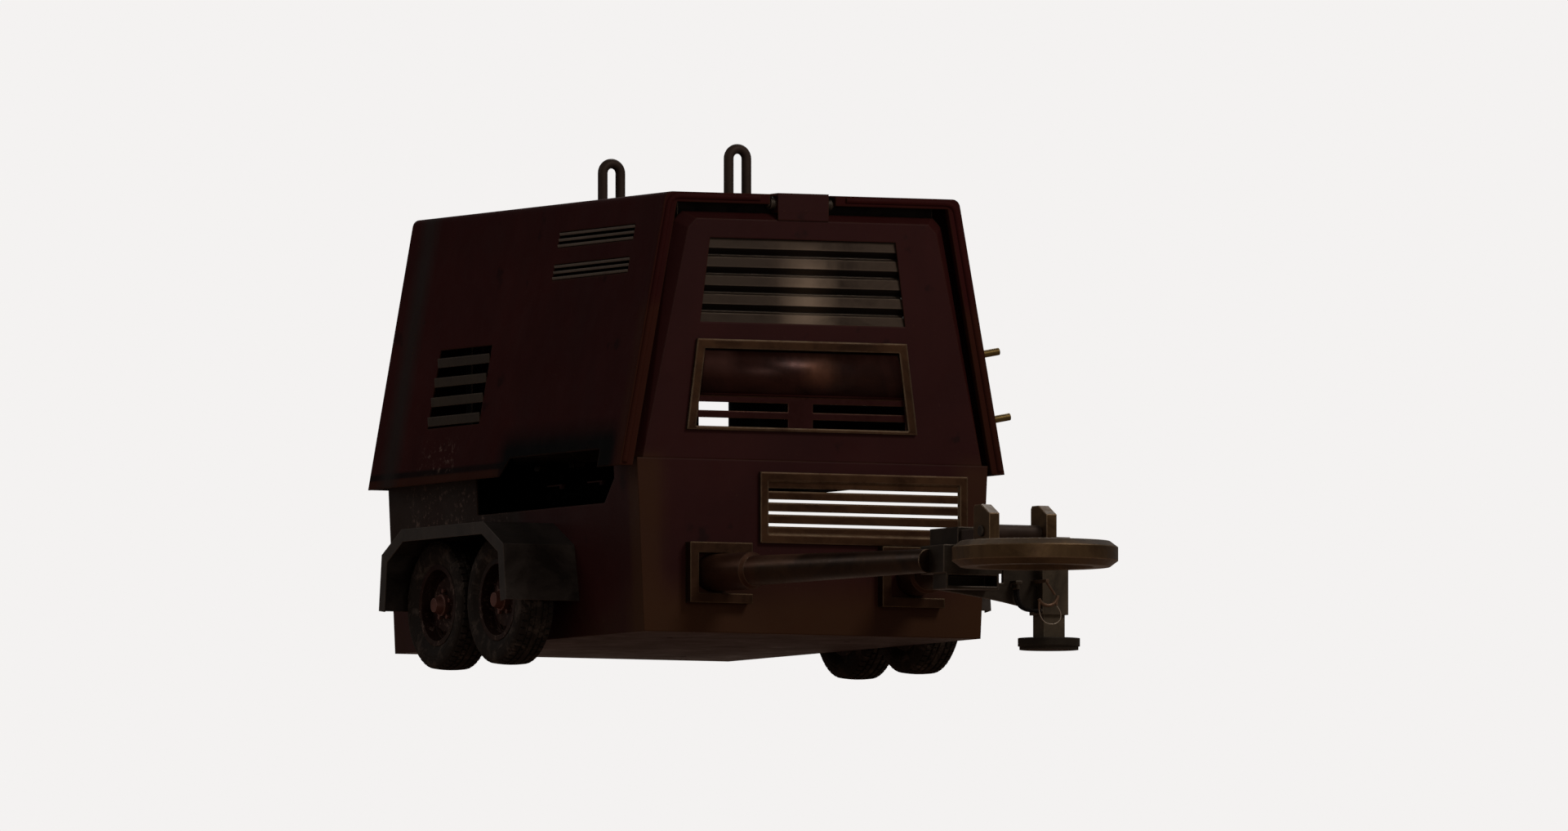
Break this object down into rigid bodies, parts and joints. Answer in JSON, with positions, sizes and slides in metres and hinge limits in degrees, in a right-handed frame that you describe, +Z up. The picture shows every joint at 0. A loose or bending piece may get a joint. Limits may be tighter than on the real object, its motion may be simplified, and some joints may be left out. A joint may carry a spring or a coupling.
{
  "type": "towable compressor trailer",
  "caption": "Towable mine compressor with a tub body, flared hinged canopy, louvred front, paired wheels under folded fenders, A-frame drawbar with a large tow ring, jack and lifting loops.",
  "frame": {"origin": "on the ground, midway along the overall length and on the centreline", "axes": "+Z up, +Y from the tow ring towards the rear, +X to the right when looking along +Y"},
  "size_m": [2.192, 4.5499, 2.1118],
  "materials": {
    "body_paint": "worn satin dark maroon paint",
    "niche_black": "sooty black paint",
    "dark_steel": "dark oily steel",
    "worn_bronze": "bronze-toned worn metal with brighter edges",
    "copper_plate": "reddish worn plate with a soft sheen",
    "rusty_steel": "thin rusty paint",
    "hose_rubber": "matte black rubber",
    "cable_steel": "bare steel wire",
    "tyre_rubber": "dusty tread rubber",
    "rim_paint": "chipped red-brown paint",
    "hub_iron": "rusty cast hub",
    "peg_brass": "dull brass",
    "machine_grey": "dark engine paint",
    "lever_red": "red lever paint"
  },
  "bodies": {
    "root": {"tub": "body_paint", "niche_pan": "niche_black", "base_rails": "dark_steel", "front_panel": "body_paint", "upper_louvre": "worn_bronze", "window_bezel": "worn_bronze", "window_plate": "copper_plate", "front_grille": "worn_bronze", "hinge_block": "body_paint", "hinge_pin": "dark_steel", "drawbar_sockets": "worn_bronze", "leg_left": "worn_bronze", "leg_right": "worn_bronze", "coupling_head": "dark_steel", "jack_bracket": "dark_steel", "jack_tube": "dark_steel", "hose_sockets": "dark_steel", "brake_hoses": "hose_rubber", "cable_hanger": "cable_steel", "safety_cable": "cable_steel", "fender_left": "dark_steel", "fender_right": "dark_steel", "axles": "dark_steel", "lifting_frame": "rusty_steel", "engine": "machine_grey", "airend": "machine_grey", "separator_tank": "body_paint", "radiator": "machine_grey", "fan_belt": "hose_rubber", "fuel_tank": "machine_grey", "air_filter": "machine_grey", "silencer": "rusty_steel", "outlet_manifold": "rusty_steel"},
    "canopy": {"canopy": "body_paint", "canopy_arms": "dark_steel", "side_louvres": "worn_bronze", "side_vents": "worn_bronze", "side_pegs": "peg_brass"},
    "drawtube": {"drawtube": "rusty_steel"},
    "tow_ring": {"tow_ring": "worn_bronze", "ring_pin": "dark_steel"},
    "jack_leg": {"jack_leg": "dark_steel", "jack_foot": "dark_steel"},
    "jack_crank": {"jack_crank": "dark_steel"},
    "wheel_fl": {"tyre_fl": "tyre_rubber", "rim_fl": "rim_paint", "hub_fl": "hub_iron"},
    "wheel_fr": {"tyre_fr": "tyre_rubber", "rim_fr": "rim_paint", "hub_fr": "hub_iron"},
    "wheel_rl": {"tyre_rl": "tyre_rubber", "rim_rl": "rim_paint", "hub_rl": "hub_iron"},
    "wheel_rr": {"tyre_rr": "tyre_rubber", "rim_rr": "rim_paint", "hub_rr": "hub_iron"},
    "fan": {"fan": "machine_grey"},
    "crank_pulley": {"crank_pulley": "machine_grey"},
    "valve_lever_front": {"valve_lever_front": "lever_red"},
    "valve_lever_rear": {"valve_lever_rear": "lever_red"}
  },
  "joints": [
    {"name": "canopy_hinge", "type": "hinge", "parent": "root", "child": "canopy", "pos_m": [0, 0.032, 1.835], "axis": [1, 0, 0], "range_deg": [0, 45]},
    {"name": "overrun_slide", "type": "slide", "parent": "root", "child": "drawtube", "axis": [0, 1, 0], "range_m": [0, 0.06]},
    {"name": "ring_pivot", "type": "hinge", "parent": "drawtube", "child": "tow_ring", "pos_m": [0, -1.77, 0.44], "axis": [-1, 0, 0], "range_deg": [0, 90]},
    {"name": "jack_slide", "type": "slide", "parent": "root", "child": "jack_leg", "axis": [0, 0, 1], "range_m": [-0.12, 0.085]},
    {"name": "jack_crank_spin", "type": "hinge", "parent": "root", "child": "jack_crank", "pos_m": [0.407, -1.2165, 0.395], "axis": [0, 1, 0], "range_deg": [-2200, 1560]},
    {"name": "wheel_fl_spin", "type": "hinge", "parent": "root", "child": "wheel_fl", "pos_m": [-0.922, 0.866, 0.261], "axis": [1, 0, 0], "continuous": true},
    {"name": "wheel_fr_spin", "type": "hinge", "parent": "root", "child": "wheel_fr", "pos_m": [0.922, 0.866, 0.261], "axis": [1, 0, 0], "continuous": true},
    {"name": "wheel_rl_spin", "type": "hinge", "parent": "root", "child": "wheel_rl", "pos_m": [-0.922, 1.406, 0.261], "axis": [1, 0, 0], "continuous": true},
    {"name": "wheel_rr_spin", "type": "hinge", "parent": "root", "child": "wheel_rr", "pos_m": [0.922, 1.406, 0.261], "axis": [1, 0, 0], "continuous": true},
    {"name": "crank_pulley_spin", "type": "hinge", "parent": "root", "child": "crank_pulley", "pos_m": [0, 1.746, 0.42], "axis": [0, 1, 0], "continuous": true},
    {"name": "fan_spin", "type": "hinge", "parent": "root", "child": "fan", "pos_m": [0, 1.746, 0.68], "axis": [0, 1, 0], "continuous": true},
    {"name": "valve_front_turn", "type": "hinge", "parent": "root", "child": "valve_lever_front", "pos_m": [-0.682, 0.52, 0.7124], "axis": [0, 0, 1], "range_deg": [0, 90]},
    {"name": "valve_rear_turn", "type": "hinge", "parent": "root", "child": "valve_lever_rear", "pos_m": [-0.682, 0.88, 0.7124], "axis": [0, 0, 1], "range_deg": [0, 90]}
  ],
  "couplings": [
    {"joint": "jack_crank_spin", "follows": "jack_slide", "rad_per_m": 314.16},
    {"joint": "fan_spin", "follows": "crank_pulley_spin", "ratio": 1}
  ]
}
